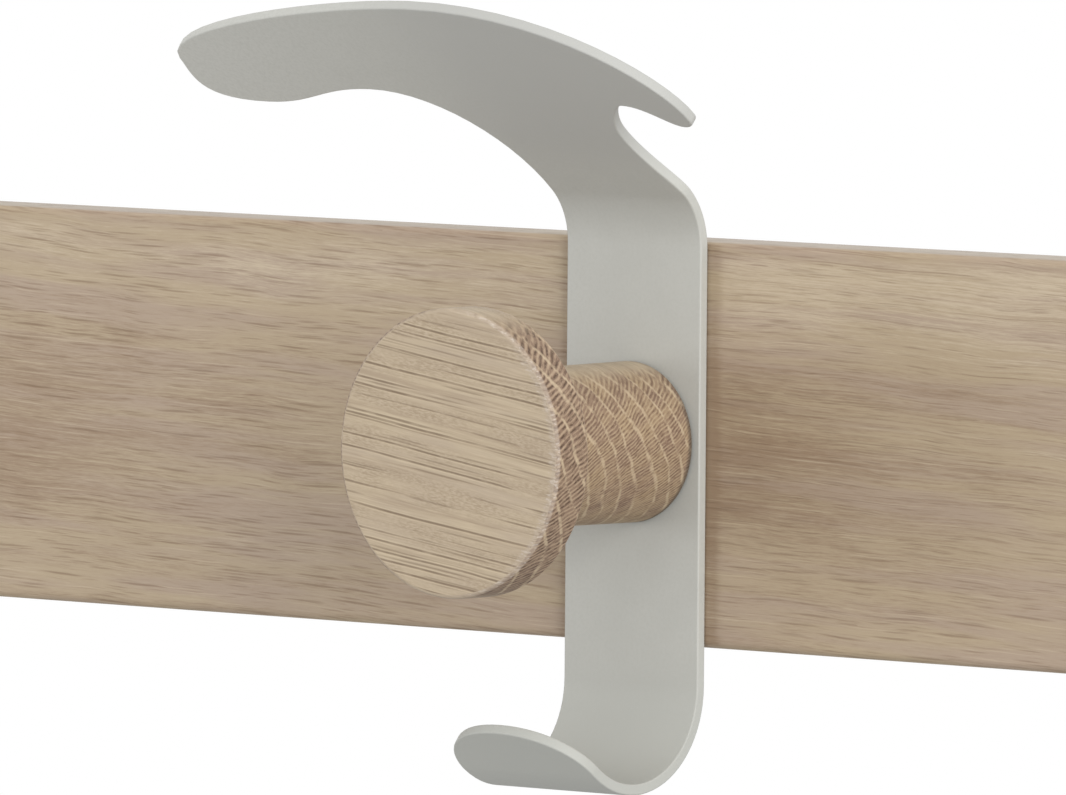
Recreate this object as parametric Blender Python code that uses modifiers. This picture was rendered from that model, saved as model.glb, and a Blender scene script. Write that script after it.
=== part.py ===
"""Coat rail hook: an oak rail carrying one folded sheet-metal hook, clamped by a turned oak knob.

Frame, in metres: X runs along the rail, -Y points away from the wall, +Z is up. The origin lies on
the rail's wall face, midway along the rail, level with the two wall screws that the rail hangs on.
"""

import math

import bmesh
import bpy
from mathutils import Vector

# Rail: one planed oak board with softened edges.
RAIL_LENGTH = 0.420
RAIL_HEIGHT = 0.090
RAIL_THICKNESS = 0.015
RAIL_EDGE_ROUND = 0.0018
RAIL_EDGE_SEGMENTS = 3

# Hook: one blank of coated sheet steel, folded once above the rail and once below it.
SHEET = 0.0025
SHEET_EDGE_ROUND = 0.0004
SHEET_EDGE_SEGMENTS = 2
STRIP_WIDTH = 0.0390
TOP_BEND_RISE = 0.0435
TOP_BEND_RADIUS = 0.0153
TOP_BEND_ANGLE = math.radians(49.0)
TOP_BEND_FACETS = 10
TROUGH_DROP = 0.0534
TROUGH_RADIUS = 0.0204
TROUGH_ANGLE = math.radians(130.0)
TROUGH_FACETS = 26
LIP_LENGTH = 0.0135
LIP_ROUND = 0.0145
LIP_CORNER_SHARE = 0.58

# Shoulder of the hook: the wide leaf above the top bend, long to the left, a short barb to the right.
SHOULDER_RISE = 0.0631
ARM_REACH = 0.1026
BARB_REACH = 0.0380
OUTLINE_STEPS = 14
LEAVING_STRIP_SHARE = 0.072
JOINING_STRIP_SHARE = 0.279

# Anchors of the shoulder's outline, anticlockwise from the strip's right edge. Each has its place
# across (a share of the barb's reach, or of the arm's where negative), its height (a share of the
# rise), its heading, and the lengths of the handles before and after it (shares of the rise).
UP, DOWN, LEFT, RIGHT = (0, 1), (0, -1), (-1, 0), (1, 0)
SHOULDER_SHARES = [
    (0.370, 0.334, UP, 0.135, 0.080),
    (0.553, 0.501, RIGHT, 0.029, 0.100),
    (0.927, 0.396, RIGHT, 0.063, 0.026),
    (1.000, 0.430, UP, 0.024, 0.170),
    (-0.213, 1.000, LEFT, 0.660, 0.400),
    (-1.000, 0.665, DOWN, 0.172, 0.090),
    (-0.832, 0.433, RIGHT, 0.340, 0.215),
    (-0.499, 0.531, RIGHT, 0.231, 0.288),
]

# Knob: stem and disc turned from one piece of oak, its length measured from the hook's face.
KNOB_LENGTH = 0.0616
DISC_RADIUS = 0.0319
DISC_THICKNESS = 0.0103
DISC_FACE_ROUND = 0.0011
DISC_BACK_ROUND = 0.0007
STEM_RADIUS_AT_DISC = 0.0175
STEM_RADIUS_AT_HOOK = 0.0179
STEM_COVE = 0.0030
STEM_FOOT_ROUND = 0.0006
ROUND_SEGMENTS = 3
TURNED_STEPS = 96

# Clamp: a button-head screw from behind the rail, through the hook, into an insert in the knob.
SCREW_RADIUS = 0.0030
SCREW_SHANK = 0.0250
SCREW_TIP_CHAMFER = 0.0006
SCREW_HEAD_RADIUS = 0.00525
SCREW_HEAD_HEIGHT = 0.0033
SCREW_HEAD_RIM = 0.0010
SCREW_HEAD_CROWN_SHARE = 0.55
SOCKET_ACROSS_FLATS = 0.0040
SOCKET_DEPTH = 0.0020
HEXAGON_SIDES = 6
WASHER_RADIUS = 0.0090
WASHER_THICKNESS = 0.0016
WASHER_CHAMFER = 0.0003
COUNTERBORE_DEPTH = 0.0072
INSERT_RADIUS = 0.0050
INSERT_LENGTH = 0.0150
INSERT_CHAMFER = 0.0005
INSERT_BORE_SPARE = 0.0020
INSERT_SETBACK = 0.0005

# Two locating pins, hidden under the knob's stem, keep the loaded hook from turning.
PIN_RADIUS = 0.0020
PIN_LENGTH = 0.0120
PIN_CHAMFER = 0.0004
PIN_SPACING = 0.0220
PIN_SETBACK = 0.0004

# Hangers: two steel keyhole plates let into the rail's back, each held by two countersunk screws.
# The wall screws' level lies this drop below the rail's top edge.
HANGER_DROP = 0.0250
HANGER_INSET = 0.0600
PLATE_WIDTH = 0.0160
PLATE_HEIGHT = 0.0440
PLATE_THICKNESS = 0.0018
PLATE_SETBACK = 0.0002
KEYHOLE_RADIUS = 0.0049
SLOT_RADIUS = 0.0025
SLOT_TRAVEL = 0.0100
POCKET_MARGIN = 0.0008
POCKET_DEPTH = 0.0085
PLATE_SCREW_SPACING = 0.0340
PLATE_SCREW_RADIUS = 0.0016
PLATE_SCREW_HEAD_RADIUS = 0.0031
PLATE_SCREW_HEAD_DEPTH = 0.0016
PLATE_SCREW_LENGTH = 0.0110
PLATE_SCREW_POINT = 0.0030
PLATE_SCREW_TIP_RADIUS = 0.0004
CROSS_RECESS_WIDTH = 0.0007
CROSS_RECESS_LENGTH = 0.0032
CROSS_RECESS_DEPTH = 0.0008

# Shared values.
CLEARANCE = 0.0003
OVERRUN = 0.0020
SMALL_STEPS = 32
MERGE_DISTANCE = 0.00001
SMOOTH_ANGLE = math.radians(32.0)
SHEET_BEVEL_ANGLE = math.radians(60.0)

# Places worked out from the sizes above.
RAIL_MID_Z = HANGER_DROP - RAIL_HEIGHT / 2
RAIL_FRONT_Y = -RAIL_THICKNESS
HOOK_BACK_Y = RAIL_FRONT_Y - CLEARANCE
HOOK_FRONT_Y = HOOK_BACK_Y - SHEET
HOOK_MID_Y = (HOOK_BACK_Y + HOOK_FRONT_Y) / 2
KNOB_BASE_Y = HOOK_FRONT_Y - CLEARANCE
WASHER_FRONT_Y = -COUNTERBORE_DEPTH + CLEARANCE
HEAD_FRONT_Y = WASHER_FRONT_Y + WASHER_THICKNESS + CLEARANCE
SCREW_BORE_RADIUS = SCREW_RADIUS + CLEARANCE
HANGER_X = RAIL_LENGTH / 2 - HANGER_INSET
PLATE_MID_Z = -SLOT_TRAVEL / 2
PLATE_BACK_Y = -PLATE_SETBACK
PLATE_FRONT_Y = PLATE_BACK_Y - PLATE_THICKNESS
PLATE_RECESS_DEPTH = -PLATE_FRONT_Y + CLEARANCE

# Rotations that carry a turned piece's own +Z to the front of the hook or to the wall.
AXIS_TO_FRONT = (math.pi / 2, 0, 0)
AXIS_TO_WALL = (-math.pi / 2, 0, 0)


def clear_scene():
    for old in list(bpy.data.objects):
        bpy.data.objects.remove(old, do_unlink=True)


def new_collection(name):
    collection = bpy.data.collections.new(name)
    bpy.context.scene.collection.children.link(collection)
    return collection


def material(name, colour, roughness, metallic=0.0):
    made = bpy.data.materials.new(name)
    made.use_nodes = True
    shader = made.node_tree.nodes["Principled BSDF"]
    shader.inputs["Base Color"].default_value = (*colour, 1.0)
    shader.inputs["Roughness"].default_value = roughness
    shader.inputs["Metallic"].default_value = metallic
    made.diffuse_color = (*colour, 1.0)
    return made


def add_object(name, mesh, collection, finish=None, location=(0, 0, 0), rotation=(0, 0, 0)):
    made = bpy.data.objects.new(name, mesh)
    made.location = location
    made.rotation_euler = rotation
    collection.objects.link(made)
    if finish:
        mesh.materials.append(finish)
    return made


def add_cutter(name, mesh, location=(0, 0, 0), rotation=(0, 0, 0)):
    cutter = add_object(name, mesh, CUTTERS, location=location, rotation=rotation)
    cutter.hide_render = True
    cutter.display_type = "WIRE"
    return cutter


def smooth(piece):
    piece.data.shade_smooth()
    piece.data.set_sharp_from_angle(angle=SMOOTH_ANGLE)


def box_mesh(name, size):
    shape = bmesh.new()
    bmesh.ops.create_cube(shape, size=1)
    bmesh.ops.scale(shape, vec=size, verts=shape.verts)
    mesh = bpy.data.meshes.new(name)
    shape.to_mesh(mesh)
    shape.free()
    return mesh


def profile_mesh(name, points, closed=False):
    """A profile in the XZ plane: the line that a Screw modifier turns round Z."""
    shape = bmesh.new()
    corners = [shape.verts.new((radius, 0, height)) for radius, height in points]
    following = corners[1:] + corners[:1] if closed else corners[1:]
    for first, second in zip(corners, following):
        shape.edges.new((first, second))
    mesh = bpy.data.meshes.new(name)
    shape.to_mesh(mesh)
    shape.free()
    return mesh


def turn(piece, steps):
    """Turn an object's profile, which runs down its outer side, once round its own Z axis."""
    lathe = piece.modifiers.new("turned", "SCREW")
    lathe.angle = 2 * math.pi
    lathe.steps = steps
    lathe.render_steps = steps
    lathe.use_merge_vertices = True
    lathe.merge_threshold = MERGE_DISTANCE
    return piece


def arc(centre, radius, start, end, segments):
    """Points on an arc between two angles, in degrees from the profile's outward direction."""
    angles = [math.radians(start + (end - start) * step / segments) for step in range(segments + 1)]
    return [(centre[0] + radius * math.cos(a), centre[1] + radius * math.sin(a)) for a in angles]


def cut(piece, cutters):
    """Take a group of cutters out of a piece in one step."""
    group = bpy.data.collections.new(f"{piece.name}_cuts")
    CUTTERS.children.link(group)
    for cutter in cutters:
        group.objects.link(cutter)
    boolean = piece.modifiers.new("cuts", "BOOLEAN")
    boolean.operation = "DIFFERENCE"
    boolean.solver = "EXACT"
    boolean.operand_type = "COLLECTION"
    boolean.collection = group


def bevel(piece, width, segments, limit_angle=None):
    rounding = piece.modifiers.new("edge rounding", "BEVEL")
    rounding.width = width
    rounding.segments = segments
    if limit_angle:
        rounding.limit_method = "ANGLE"
        rounding.angle_limit = limit_angle
    else:
        rounding.limit_method = "NONE"


def cylinder_points(radius, bottom, top):
    return [(0, top), (radius, top), (radius, bottom), (0, bottom)]


def capsule_outline(radius, low, high, steps):
    """A flat outline with round ends, its end centres at two heights."""
    cap = [math.pi * step / steps for step in range(steps + 1)]
    upper = [(radius * math.cos(a), high + radius * math.sin(a)) for a in cap]
    lower = [(-radius * math.cos(a), low - radius * math.sin(a)) for a in cap]
    return upper + lower


def keyhole_outline(head_radius, slot_radius, travel, steps):
    """The keyhole: a round hole for the screw's head at the bottom, a slot for its shank above."""
    shoulder = math.asin(slot_radius / head_radius)
    sweep = 2 * math.pi - 2 * shoulder
    half_turn = [math.pi * step / steps for step in range(steps + 1)]
    slot = [(slot_radius * math.cos(a), slot_radius * math.sin(a)) for a in half_turn]
    around = [math.pi / 2 + shoulder + sweep * step / (2 * steps) for step in range(2 * steps + 1)]
    head = [(head_radius * math.cos(a), head_radius * math.sin(a) - travel) for a in around]
    return slot + head


def flat_piece(name, outlines, thickness):
    """A flat mesh in the XY plane, centred on it, from closed outlines; inner ones are holes."""
    drawing = bpy.data.curves.new(name, "CURVE")
    drawing.dimensions = "2D"
    drawing.fill_mode = "BOTH"
    drawing.extrude = thickness / 2
    for outline in outlines:
        spline = drawing.splines.new("POLY")
        spline.points.add(len(outline) - 1)
        for point, (across, up) in zip(spline.points, outline):
            point.co = (across, up, 0, 1)
        spline.use_cyclic_u = True
    return mesh_of_drawing(name, drawing)


def mesh_of_drawing(name, drawing):
    """The mesh of a 2D curve, its caps welded to its sides."""
    holder = bpy.data.objects.new(name, drawing)
    bpy.context.scene.collection.objects.link(holder)
    graph = bpy.context.evaluated_depsgraph_get()
    mesh = bpy.data.meshes.new_from_object(holder.evaluated_get(graph))
    mesh.name = name
    bpy.data.objects.remove(holder, do_unlink=True)
    shape = bmesh.new()
    shape.from_mesh(mesh)
    bmesh.ops.remove_doubles(shape, verts=shape.verts, dist=MERGE_DISTANCE)
    shape.to_mesh(mesh)
    shape.free()
    return mesh


def make_rail(finish, bores):
    """The board, bored for the clamp and the pins, and recessed for the two hangers."""
    size = (RAIL_LENGTH, RAIL_THICKNESS, RAIL_HEIGHT)
    middle = (0, RAIL_FRONT_Y / 2, RAIL_MID_Z)
    rail = add_object("rail_board", box_mesh("rail_board", size), PARTS, finish, middle)
    bevel(rail, RAIL_EDGE_ROUND, RAIL_EDGE_SEGMENTS)
    cut(rail, [cut_counterbore()] + bores + cut_hanger_recess(-1) + cut_hanger_recess(1))
    smooth(rail)


def cut_clamp_bore():
    """The clamp screw's clearance hole, right through the rail and the hook."""
    reach = -KNOB_BASE_Y + OVERRUN
    profile = profile_mesh("clamp_bore", cylinder_points(SCREW_BORE_RADIUS, -OVERRUN, reach))
    return turn(add_cutter("clamp_bore", profile, (0, 0, RAIL_MID_Z), AXIS_TO_FRONT), SMALL_STEPS)


def cut_counterbore():
    """The round pocket behind the rail for the washer and the screw's head."""
    radius = WASHER_RADIUS + CLEARANCE
    profile = profile_mesh("counterbore", cylinder_points(radius, -OVERRUN, COUNTERBORE_DEPTH))
    return turn(add_cutter("counterbore", profile, (0, 0, RAIL_MID_Z), AXIS_TO_FRONT), SMALL_STEPS)


def pin_places():
    return [(side, RAIL_MID_Z + side * PIN_SPACING / 2) for side in (-1, 1)]


def cut_pin_bores():
    """Blind holes in the rail's front, which run on through the hook."""
    depth = PIN_LENGTH + PIN_SETBACK + CLEARANCE
    points = cylinder_points(PIN_RADIUS + CLEARANCE, -depth, OVERRUN)
    bores = []
    for side, height in pin_places():
        profile = profile_mesh("pin_bore", points)
        place = (0, HOOK_FRONT_Y, height)
        bores.append(turn(add_cutter("pin_bore", profile, place, AXIS_TO_FRONT), SMALL_STEPS))
    return bores


def plate_outline(margin):
    radius = PLATE_WIDTH / 2
    straight = PLATE_HEIGHT / 2 - radius
    return capsule_outline(radius + margin, -straight, straight, SMALL_STEPS // 2)


def cut_hanger_recess(side):
    """A shallow seat for the plate, a deep pocket for the wall screw's head, two pilot holes."""
    seat_height = PLATE_RECESS_DEPTH + OVERRUN
    seat = flat_piece("plate_seat", [plate_outline(CLEARANCE)], seat_height)
    seat_y = (OVERRUN - PLATE_RECESS_DEPTH) / 2
    cutters = [add_cutter("plate_seat", seat, (side * HANGER_X, seat_y, PLATE_MID_Z), AXIS_TO_FRONT)]

    reach = KEYHOLE_RADIUS + POCKET_MARGIN
    outline = capsule_outline(reach, -SLOT_TRAVEL, 0, SMALL_STEPS // 2)
    pocket = flat_piece("head_pocket", [outline], POCKET_DEPTH + OVERRUN)
    pocket_y = (OVERRUN - POCKET_DEPTH) / 2
    cutters.append(add_cutter("head_pocket", pocket, (side * HANGER_X, pocket_y, 0), AXIS_TO_FRONT))

    for height in plate_screw_heights():
        pilot = profile_mesh("pilot_hole", wood_screw_profile(CLEARANCE))
        place = (side * HANGER_X, PLATE_BACK_Y, height)
        cutters.append(turn(add_cutter("pilot_hole", pilot, place, AXIS_TO_WALL), SMALL_STEPS))
    return cutters


def plate_screw_heights():
    return [PLATE_MID_Z + side * PLATE_SCREW_SPACING / 2 for side in (1, -1)]


def wood_screw_profile(margin=0.0):
    """Countersunk head, shank and point, or the hole that clears them by a margin."""
    neck = -PLATE_SCREW_HEAD_DEPTH
    shoulder = -(PLATE_SCREW_LENGTH - PLATE_SCREW_POINT)
    tip = -PLATE_SCREW_LENGTH - margin
    head = PLATE_SCREW_HEAD_RADIUS + margin
    shank = PLATE_SCREW_RADIUS + margin
    return [(0, margin), (head, margin), (head, 0), (shank, neck), (shank, shoulder),
            (PLATE_SCREW_TIP_RADIUS + margin, tip), (0, tip)]


def shoulder_anchors():
    """Anchors of the outline above the top bend: place, heading and the two handle lengths."""
    anchors = []
    for across, rise, heading, before, after in SHOULDER_SHARES:
        reach = BARB_REACH if across > 0 else ARM_REACH
        place = Vector((across * reach, blank_top_end() + rise * SHOULDER_RISE))
        anchors.append((place, Vector(heading), before * SHOULDER_RISE, after * SHOULDER_RISE))
    return anchors


def blank_top_end():
    """Where the top bend ends on the flat blank, measured up from the clamp screw."""
    return TOP_BEND_RISE + TOP_BEND_ANGLE * (TOP_BEND_RADIUS + SHEET / 2)


def blank_trough_end():
    """Where the trough's bend ends on the flat blank, measured down from the clamp screw."""
    return TROUGH_DROP + TROUGH_ANGLE * (TROUGH_RADIUS + SHEET / 2)


def blank_anchors():
    """The whole blank, anticlockwise: shoulder, left edge, round lip, right edge."""
    half = STRIP_WIDTH / 2
    top = blank_top_end()
    lip_tip = -blank_trough_end() - LIP_LENGTH
    lip_root = lip_tip + LIP_ROUND
    leaving = LEAVING_STRIP_SHARE * SHOULDER_RISE
    joining = JOINING_STRIP_SHARE * SHOULDER_RISE
    side_handle = LIP_CORNER_SHARE * LIP_ROUND
    tip_handle = LIP_CORNER_SHARE * half
    first = [(Vector((half, top)), Vector(UP), 0, leaving)]
    rest = [
        (Vector((-half, top)), Vector(DOWN), joining, 0),
        (Vector((-half, lip_root)), Vector(DOWN), 0, side_handle),
        (Vector((0, lip_tip)), Vector(RIGHT), tip_handle, tip_handle),
        (Vector((half, lip_root)), Vector(UP), side_handle, 0),
    ]
    return first + shoulder_anchors() + rest


def draw_blank():
    """The flat blank as a filled 2D curve: smooth handles, straight runs between zero ones."""
    drawing = bpy.data.curves.new("hook_blank", "CURVE")
    drawing.dimensions = "2D"
    drawing.fill_mode = "BOTH"
    drawing.resolution_u = OUTLINE_STEPS
    anchors = blank_anchors()
    spline = drawing.splines.new("BEZIER")
    spline.bezier_points.add(len(anchors) - 1)
    spline.use_cyclic_u = True
    for point, (place, heading, before, after) in zip(spline.bezier_points, anchors):
        point.co = (*place, 0)
        point.handle_left_type = "FREE" if before else "VECTOR"
        point.handle_right_type = "FREE" if after else "VECTOR"
        if before:
            point.handle_left = (*(place - heading * before), 0)
        if after:
            point.handle_right = (*(place + heading * after), 0)
    return mesh_of_drawing("coat_hook", drawing)


def fold_lines():
    """Heights on the blank of every crease that makes the two bends round."""
    top = [TOP_BEND_RISE + (blank_top_end() - TOP_BEND_RISE) * step / TOP_BEND_FACETS
           for step in range(TOP_BEND_FACETS + 1)]
    trough = [-TROUGH_DROP - (blank_trough_end() - TROUGH_DROP) * step / TROUGH_FACETS
              for step in range(TROUGH_FACETS + 1)]
    return top + trough


def folded(across, along):
    """Carry a point of the blank to its place on the folded sheet's middle surface."""
    if along > TOP_BEND_RISE:
        start, radius, limit, side = TOP_BEND_RISE, TOP_BEND_RADIUS + SHEET / 2, TOP_BEND_ANGLE, 1
    elif along < -TROUGH_DROP:
        start, radius, limit, side = TROUGH_DROP, TROUGH_RADIUS + SHEET / 2, TROUGH_ANGLE, -1
    else:
        return Vector((across, HOOK_MID_Y, RAIL_MID_Z + along))
    past = abs(along) - start
    angle = min(past / radius, limit)
    straight = past - angle * radius
    forward = radius * (1 - math.cos(angle)) + straight * math.sin(angle)
    rise = start + radius * math.sin(angle) + straight * math.cos(angle)
    return Vector((across, HOOK_MID_Y - forward, RAIL_MID_Z + side * rise))


def make_hook(finish, bores):
    """Draw the blank, crease it, fold it, and give it the sheet's thickness and soft edges."""
    mesh = draw_blank()
    blank = bmesh.new()
    blank.from_mesh(mesh)
    bmesh.ops.dissolve_limit(blank, angle_limit=SMOOTH_ANGLE, verts=[], edges=blank.edges)
    for height in fold_lines():
        whole = blank.verts[:] + blank.edges[:] + blank.faces[:]
        bmesh.ops.bisect_plane(blank, geom=whole, dist=MERGE_DISTANCE,
                               plane_co=(0, height, 0), plane_no=(0, 1, 0))
    for corner in blank.verts:
        corner.co = folded(corner.co.x, corner.co.y)
    blank.to_mesh(mesh)
    blank.free()
    hook = add_object("coat_hook", mesh, PARTS, finish)
    sheet = hook.modifiers.new("sheet", "SOLIDIFY")
    sheet.thickness = SHEET
    sheet.offset = 0
    sheet.use_even_offset = True
    bevel(hook, SHEET_EDGE_ROUND, SHEET_EDGE_SEGMENTS, SHEET_BEVEL_ANGLE)
    cut(hook, bores)
    smooth(hook)


def make_knob(finish):
    """Disc and stem in one turned profile, bored at the foot for the insert."""
    disc_back = KNOB_LENGTH - DISC_THICKNESS
    bore = INSERT_RADIUS + CLEARANCE
    bore_depth = INSERT_SETBACK + INSERT_LENGTH + INSERT_BORE_SPARE
    face_arc = arc((DISC_RADIUS - DISC_FACE_ROUND, KNOB_LENGTH - DISC_FACE_ROUND),
                   DISC_FACE_ROUND, 90, 0, ROUND_SEGMENTS)
    back_arc = arc((DISC_RADIUS - DISC_BACK_ROUND, disc_back + DISC_BACK_ROUND),
                   DISC_BACK_ROUND, 0, -90, ROUND_SEGMENTS)
    cove_arc = arc((STEM_RADIUS_AT_DISC + STEM_COVE, disc_back - STEM_COVE),
                   STEM_COVE, 90, 180, ROUND_SEGMENTS)
    foot_arc = arc((STEM_RADIUS_AT_HOOK - STEM_FOOT_ROUND, STEM_FOOT_ROUND),
                   STEM_FOOT_ROUND, 0, -90, ROUND_SEGMENTS)
    outer = [(0, KNOB_LENGTH)] + face_arc + back_arc + cove_arc + foot_arc
    profile = outer + [(bore, 0), (bore, bore_depth), (0, bore_depth)]
    place = (0, KNOB_BASE_Y, RAIL_MID_Z)
    knob = add_object("turned_knob", profile_mesh("turned_knob", profile), PARTS, finish,
                      place, AXIS_TO_FRONT)
    turn(knob, TURNED_STEPS)
    smooth(knob)


def ring_profile(outer, inner, bottom, top, chamfer):
    """A closed ring section with chamfered outer corners."""
    return [(inner, top), (outer - chamfer, top), (outer, top - chamfer),
            (outer, bottom + chamfer), (outer - chamfer, bottom), (inner, bottom)]


def make_insert(finish):
    points = ring_profile(INSERT_RADIUS, SCREW_BORE_RADIUS, INSERT_SETBACK,
                          INSERT_SETBACK + INSERT_LENGTH, INSERT_CHAMFER)
    profile = profile_mesh("knob_insert", points, closed=True)
    place = (0, KNOB_BASE_Y, RAIL_MID_Z)
    insert = add_object("knob_insert", profile, PARTS, finish, place, AXIS_TO_FRONT)
    turn(insert, SMALL_STEPS)
    smooth(insert)


def make_washer(finish):
    points = ring_profile(WASHER_RADIUS, SCREW_BORE_RADIUS, 0, WASHER_THICKNESS, WASHER_CHAMFER)
    profile = profile_mesh("clamp_washer", points, closed=True)
    place = (0, WASHER_FRONT_Y, RAIL_MID_Z)
    washer = add_object("clamp_washer", profile, PARTS, finish, place, AXIS_TO_WALL)
    turn(washer, SMALL_STEPS)
    smooth(washer)


def make_clamp_screw(finish):
    """Button head towards the wall, shank towards the knob, with a hexagon socket."""
    crown = SCREW_HEAD_CROWN_SHARE * SCREW_HEAD_RADIUS
    fall = SCREW_HEAD_HEIGHT - SCREW_HEAD_RIM
    quarter = [math.pi / 2 * step / ROUND_SEGMENTS for step in range(ROUND_SEGMENTS + 1)]
    dome = [(crown + (SCREW_HEAD_RADIUS - crown) * math.sin(a), SCREW_HEAD_RIM + fall * math.cos(a))
            for a in quarter]
    shank = [(SCREW_HEAD_RADIUS, 0), (SCREW_RADIUS, 0), (SCREW_RADIUS, SCREW_TIP_CHAMFER - SCREW_SHANK),
             (SCREW_RADIUS - SCREW_TIP_CHAMFER, -SCREW_SHANK), (0, -SCREW_SHANK)]
    profile = profile_mesh("clamp_screw", [(0, SCREW_HEAD_HEIGHT)] + dome + shank)
    place = (0, HEAD_FRONT_Y, RAIL_MID_Z)
    screw = add_object("clamp_screw", profile, PARTS, finish, place, AXIS_TO_WALL)
    turn(screw, SMALL_STEPS)

    corner = SOCKET_ACROSS_FLATS / (2 * math.cos(math.pi / HEXAGON_SIDES))
    floor = SCREW_HEAD_HEIGHT - SOCKET_DEPTH
    hollow = profile_mesh("hexagon_socket", cylinder_points(corner, floor, SCREW_HEAD_HEIGHT + OVERRUN))
    socket = add_cutter("hexagon_socket", hollow, place, AXIS_TO_WALL)
    turn(socket, HEXAGON_SIDES)
    cut(screw, [socket])
    smooth(screw)


def make_pins(finish):
    for side, height in pin_places():
        name = "locating_pin_upper" if side > 0 else "locating_pin_lower"
        points = ring_profile(PIN_RADIUS, 0, -PIN_LENGTH, 0, PIN_CHAMFER)
        place = (0, HOOK_FRONT_Y + PIN_SETBACK, height)
        pin = add_object(name, profile_mesh(name, points), PARTS, finish, place, AXIS_TO_FRONT)
        turn(pin, SMALL_STEPS)
        smooth(pin)


def make_keyhole_plate(name, side, finish):
    """A round-ended plate with the keyhole and two countersunk holes."""
    travel_up = -PLATE_MID_Z
    keyhole = [(across, up + travel_up) for across, up in
               keyhole_outline(KEYHOLE_RADIUS, SLOT_RADIUS, SLOT_TRAVEL, SMALL_STEPS // 2)]
    mesh = flat_piece(name, [plate_outline(0), keyhole], PLATE_THICKNESS)
    place = (side * HANGER_X, (PLATE_BACK_Y + PLATE_FRONT_Y) / 2, PLATE_MID_Z)
    plate = add_object(name, mesh, PARTS, finish, place, AXIS_TO_FRONT)
    seats = []
    for height in plate_screw_heights():
        seat = profile_mesh("countersink", wood_screw_profile(CLEARANCE))
        spot = (side * HANGER_X, PLATE_BACK_Y, height)
        seats.append(turn(add_cutter("countersink", seat, spot, AXIS_TO_WALL), SMALL_STEPS))
    cut(plate, seats)


def make_plate_screw(name, side, height, finish):
    """A countersunk wood screw with a cross recess in its head."""
    place = (side * HANGER_X, PLATE_BACK_Y, height)
    profile = profile_mesh(name, wood_screw_profile())
    screw = add_object(name, profile, PARTS, finish, place, AXIS_TO_WALL)
    turn(screw, SMALL_STEPS)
    long_way = (CROSS_RECESS_LENGTH, CROSS_RECESS_WIDTH, 2 * CROSS_RECESS_DEPTH)
    short_way = (CROSS_RECESS_WIDTH, CROSS_RECESS_LENGTH, 2 * CROSS_RECESS_DEPTH)
    slots = [add_cutter("cross_recess", box_mesh("cross_recess", size), place, AXIS_TO_WALL)
             for size in (long_way, short_way)]
    cut(screw, slots)
    smooth(screw)


def build():
    oak = material("oiled_oak", (0.392, 0.319, 0.228), 0.55)
    knob_oak = material("turned_oak", (0.462, 0.378, 0.272), 0.50)
    coated_steel = material("coated_steel", (0.480, 0.474, 0.440), 0.55)
    zinc = material("zinc_plated_steel", (0.560, 0.570, 0.580), 0.35, 1.0)
    brass = material("brass", (0.720, 0.520, 0.240), 0.35, 1.0)

    bores = [cut_clamp_bore()] + cut_pin_bores()
    make_rail(oak, bores)
    make_hook(coated_steel, bores)
    make_knob(knob_oak)
    make_insert(brass)
    make_clamp_screw(zinc)
    make_washer(zinc)
    make_pins(zinc)
    for side, word in ((-1, "left"), (1, "right")):
        make_keyhole_plate(f"keyhole_plate_{word}", side, zinc)
        for height, level in zip(plate_screw_heights(), ("upper", "lower")):
            make_plate_screw(f"plate_screw_{word}_{level}", side, height, zinc)


clear_scene()
PARTS = new_collection("coat_rail_hook")
CUTTERS = new_collection("cutters")
build()
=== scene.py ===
# %% [markdown]
# # Coat rail hook
# An oak rail carries one hook, cut from sheet steel, folded and coated. A turned oak knob clamps
# the hook to the rail and is a second, softer peg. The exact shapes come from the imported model, in
# metres, with +Z up and -Y away from the wall. This lesson dresses those shapes, and then sets up
# the light and the camera.

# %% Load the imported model
import math

import bmesh
import bpy
from mathutils import Matrix, Vector


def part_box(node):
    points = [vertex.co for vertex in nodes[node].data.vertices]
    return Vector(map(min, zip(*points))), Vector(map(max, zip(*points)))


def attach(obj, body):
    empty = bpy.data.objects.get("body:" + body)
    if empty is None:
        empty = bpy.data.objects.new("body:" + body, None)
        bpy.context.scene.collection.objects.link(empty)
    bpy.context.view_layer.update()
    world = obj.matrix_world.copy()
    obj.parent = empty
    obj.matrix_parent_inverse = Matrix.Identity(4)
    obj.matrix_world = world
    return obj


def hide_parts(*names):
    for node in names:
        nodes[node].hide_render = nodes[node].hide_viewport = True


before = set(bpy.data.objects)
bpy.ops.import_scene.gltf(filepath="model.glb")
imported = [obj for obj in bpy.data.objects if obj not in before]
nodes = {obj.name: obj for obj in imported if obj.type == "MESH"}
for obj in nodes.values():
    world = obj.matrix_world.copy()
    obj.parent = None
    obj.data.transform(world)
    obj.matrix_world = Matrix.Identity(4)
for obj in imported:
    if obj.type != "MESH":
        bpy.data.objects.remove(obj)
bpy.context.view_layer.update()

print("nodes:", ", ".join(sorted(nodes)))

# %% [markdown]
# ## Smooth skins over a faceted model
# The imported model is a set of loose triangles, and each round surface is a row of flats. Giving
# the triangles a material would show every flat. More and smaller triangles would hide the flats,
# but would also make the file heavy. Each visible piece is therefore copied into a mesh of its
# own: the copy's corners are welded, its coplanar triangles are joined, and its faces are shaded
# smooth up to a crease angle. The shape stays exactly the same, and the copy stands for the node.

# %% Copy a node into a welded, smooth-shaded piece
WELD = 1e-6  # metres
FLAT_ANGLE = math.radians(0.05)
CREASE_ANGLE = math.radians(50)
BODY = "root"


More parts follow.
